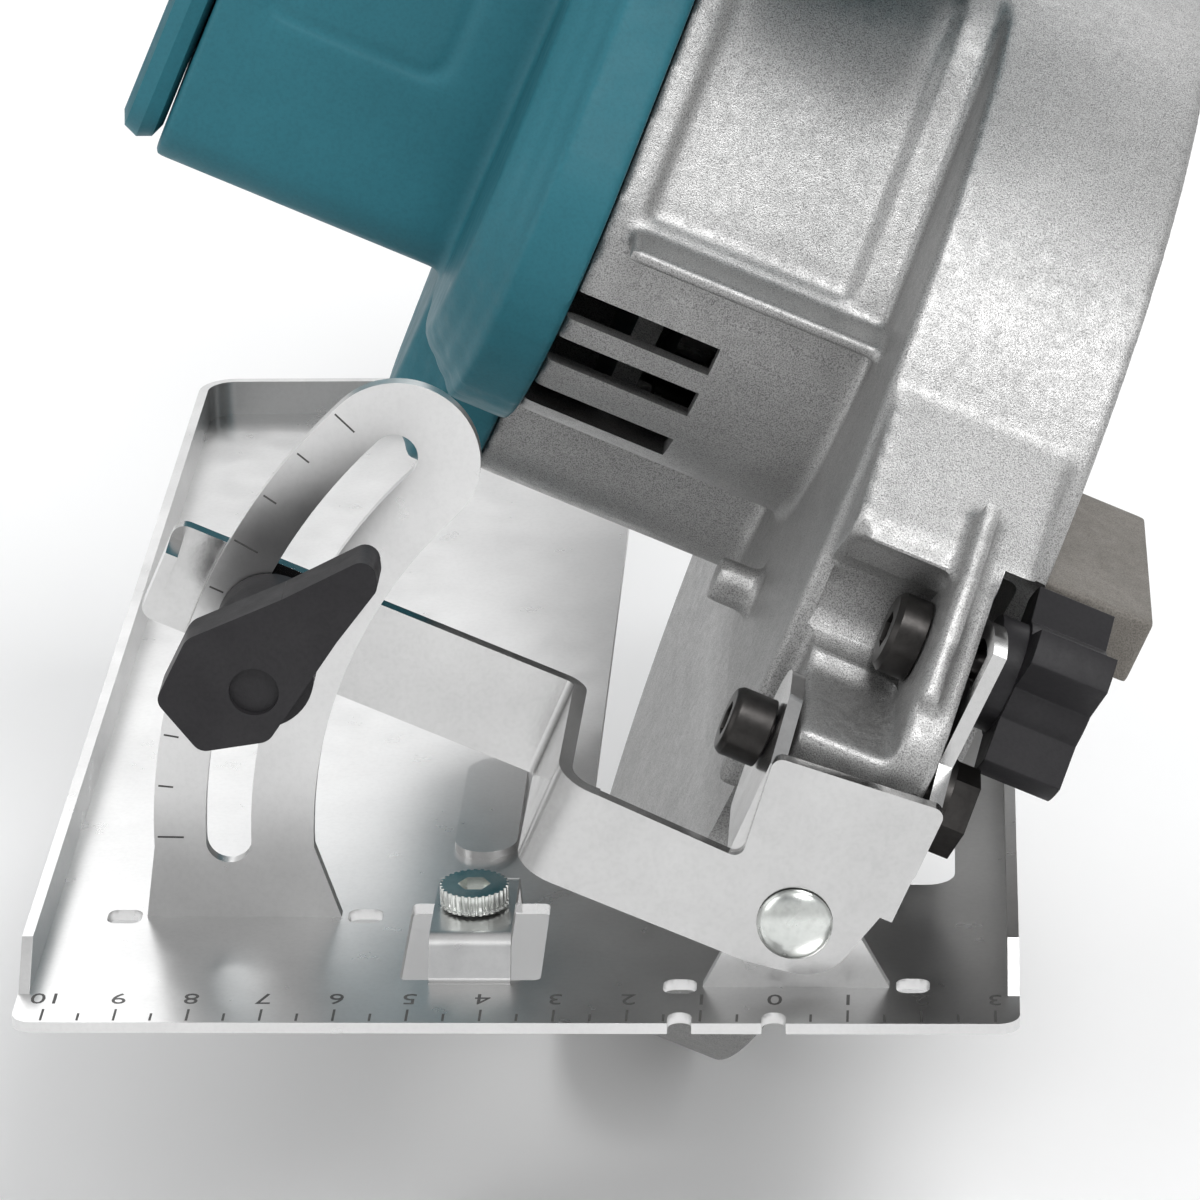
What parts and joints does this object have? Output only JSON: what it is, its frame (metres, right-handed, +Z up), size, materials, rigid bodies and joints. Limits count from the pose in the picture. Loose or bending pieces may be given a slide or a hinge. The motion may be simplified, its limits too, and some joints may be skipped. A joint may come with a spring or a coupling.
{
  "type": "circular saw",
  "caption": "Hand-held circular saw: slotted sheet base, tilting and depth-adjustable saw body, spring lower guard, geared motor drive, D-handle and slide-on battery.",
  "frame": {"origin": "underside of the base plate, at the centre of its length and width", "axes": "+X towards the blade side, +Y backwards along the cut, +Z up out of the base; drawn with the saw body tilted 24 degrees towards the motor side and at full depth of cut"},
  "size_m": [0.1669, 0.294, 0.2534],
  "materials": {
    "plated_steel": "bright nickel-plated sheet",
    "cast_aluminium": "die-cast, fine bead-blasted grain",
    "teal_plastic": "fine moulded texture",
    "black_plastic": "fine moulded texture",
    "black_oxide": "black oxide",
    "zinc_rivet": "zinc plated",
    "ground_steel": "ground",
    "grey_casting": "dull grey-brown casting",
    "copper_winding": null,
    "controller_potting": "potted board"
  },
  "bodies": {
    "base": {"base_plate": "plated_steel"},
    "fence_screw": {"fence_clamp_screw": "zinc_rivet"},
    "bevel_carriage": {"front_bracket": "plated_steel", "front_pivot_rivet": "zinc_rivet", "rear_pivot_rivet": "zinc_rivet", "depth_hinge_bolt": "black_oxide", "depth_hinge_nut": "black_oxide", "rear_depth_guide": "plated_steel", "bevel_clamp_bolt": "black_oxide"},
    "bevel_lever": {"bevel_clamp_lever": "black_plastic"},
    "depth_knob": {"depth_clamp_knob": "black_plastic"},
    "rotor": {"motor_shaft": "ground_steel", "rotor_core": "ground_steel", "cooling_fan": "black_plastic", "motor_pinion": "ground_steel"},
    "idler": {"idler_shaft": "ground_steel", "idler_gear": "ground_steel", "idler_pinion": "ground_steel"},
    "spindle": {"spindle": "ground_steel", "spindle_gear": "ground_steel", "inner_flange": "ground_steel", "outer_flange": "ground_steel", "saw_blade": "ground_steel", "blade_bolt": "black_oxide"},
    "guard": {"lower_guard": "cast_aluminium", "guard_lever": "cast_aluminium"},
    "trigger": {"trigger": "black_plastic"},
    "lock_off": {"lock_off_button": "black_plastic"},
    "battery": {"battery_pack": "black_plastic"},
    "latch": {"battery_latch": "teal_plastic"},
    "saw_body": {"battery_terminal": "black_plastic", "bearing_plate": "cast_aluminium", "blade_case": "cast_aluminium", "chip_deflector": "grey_casting", "depth_clamp_bolt": "black_oxide", "end_cap_screw_front": "black_oxide", "end_cap_screw_rear": "black_oxide", "guide_pin": "ground_steel", "handle_left": "teal_plastic", "handle_right": "teal_plastic", "handle_screw_front": "black_oxide", "handle_screw_rear": "black_oxide", "handle_screw_top": "black_oxide", "idler_bearing": "ground_steel", "motor_controller": "controller_potting", "motor_end_cap": "teal_plastic", "motor_front_bearing": "ground_steel", "motor_housing": "teal_plastic", "motor_rear_bearing": "ground_steel", "motor_stator": "copper_winding", "spindle_bearing": "ground_steel", "spindle_rear_bearing": "ground_steel", "trigger_switch": "black_plastic"}
  },
  "joints": [
    {"name": "bevel_tilt", "type": "hinge", "parent": "base", "child": "bevel_carriage", "pos_m": [0.0382, 0, 0.0124], "axis": [0, 1, 0], "range_deg": [-24, 21]},
    {"name": "depth_of_cut", "type": "hinge", "parent": "bevel_carriage", "child": "saw_body", "pos_m": [0.04552, -0.096, 0.02884], "axis": [0.9135, 0, -0.4067], "range_deg": [0, 33]},
    {"name": "bevel_lever_turn", "type": "hinge", "parent": "bevel_carriage", "child": "bevel_lever", "pos_m": [-0.03427, -0.095, 0.04631], "axis": [0, 1, 0], "range_deg": [-30, 45]},
    {"name": "depth_knob_turn", "type": "hinge", "parent": "saw_body", "child": "depth_knob", "pos_m": [0.05203, -0.083, 0.04346], "axis": [0.9135, 0, -0.4067], "range_deg": [-90, 90]},
    {"name": "fence_screw_turn", "type": "hinge", "parent": "base", "child": "fence_screw", "pos_m": [-0.00675, -0.094, 0.01], "axis": [0, 0, 1], "range_deg": [-180, 180]},
    {"name": "spindle_spin", "type": "hinge", "parent": "saw_body", "child": "spindle", "pos_m": [0.04414, 0.014, 0.02574], "axis": [0.9135, 0, -0.4067], "continuous": true},
    {"name": "idler_spin", "type": "hinge", "parent": "saw_body", "child": "idler", "pos_m": [0.05285, 0.01905, 0.0453], "axis": [0.9135, 0, -0.4067], "continuous": true},
    {"name": "rotor_spin", "type": "hinge", "parent": "saw_body", "child": "rotor", "pos_m": [0.06138, 0.024, 0.06447], "axis": [0.9135, 0, -0.4067], "continuous": true},
    {"name": "guard_swing", "type": "hinge", "parent": "saw_body", "child": "guard", "pos_m": [0.04414, 0.014, 0.02574], "axis": [0.9135, 0, -0.4067], "range_deg": [0, 150], "stiffness_Nm_per_rad": 0.12, "springref_deg": -45.84},
    {"name": "trigger_press", "type": "slide", "parent": "saw_body", "child": "trigger", "axis": [0.4067, 0, 0.9135], "range_m": [0, 0.005], "stiffness_N_per_m": 400, "springref_m": -0.004},
    {"name": "lock_off_press", "type": "slide", "parent": "saw_body", "child": "lock_off", "axis": [0.9135, 0, -0.4067], "range_m": [0, 0.003], "stiffness_N_per_m": 500, "springref_m": -0.003},
    {"name": "battery_slide", "type": "slide", "parent": "saw_body", "child": "battery", "axis": [0.4067, 0, 0.9135], "range_m": [0, 0.06]},
    {"name": "latch_press", "type": "slide", "parent": "battery", "child": "latch", "axis": [-0.4067, 0, -0.9135], "range_m": [0, 0.002], "stiffness_N_per_m": 600, "springref_m": -0.003}
  ],
  "couplings": [
    {"joint": "idler_spin", "follows": "spindle_spin", "ratio": -1.5714},
    {"joint": "rotor_spin", "follows": "spindle_spin", "ratio": 3.9286}
  ]
}
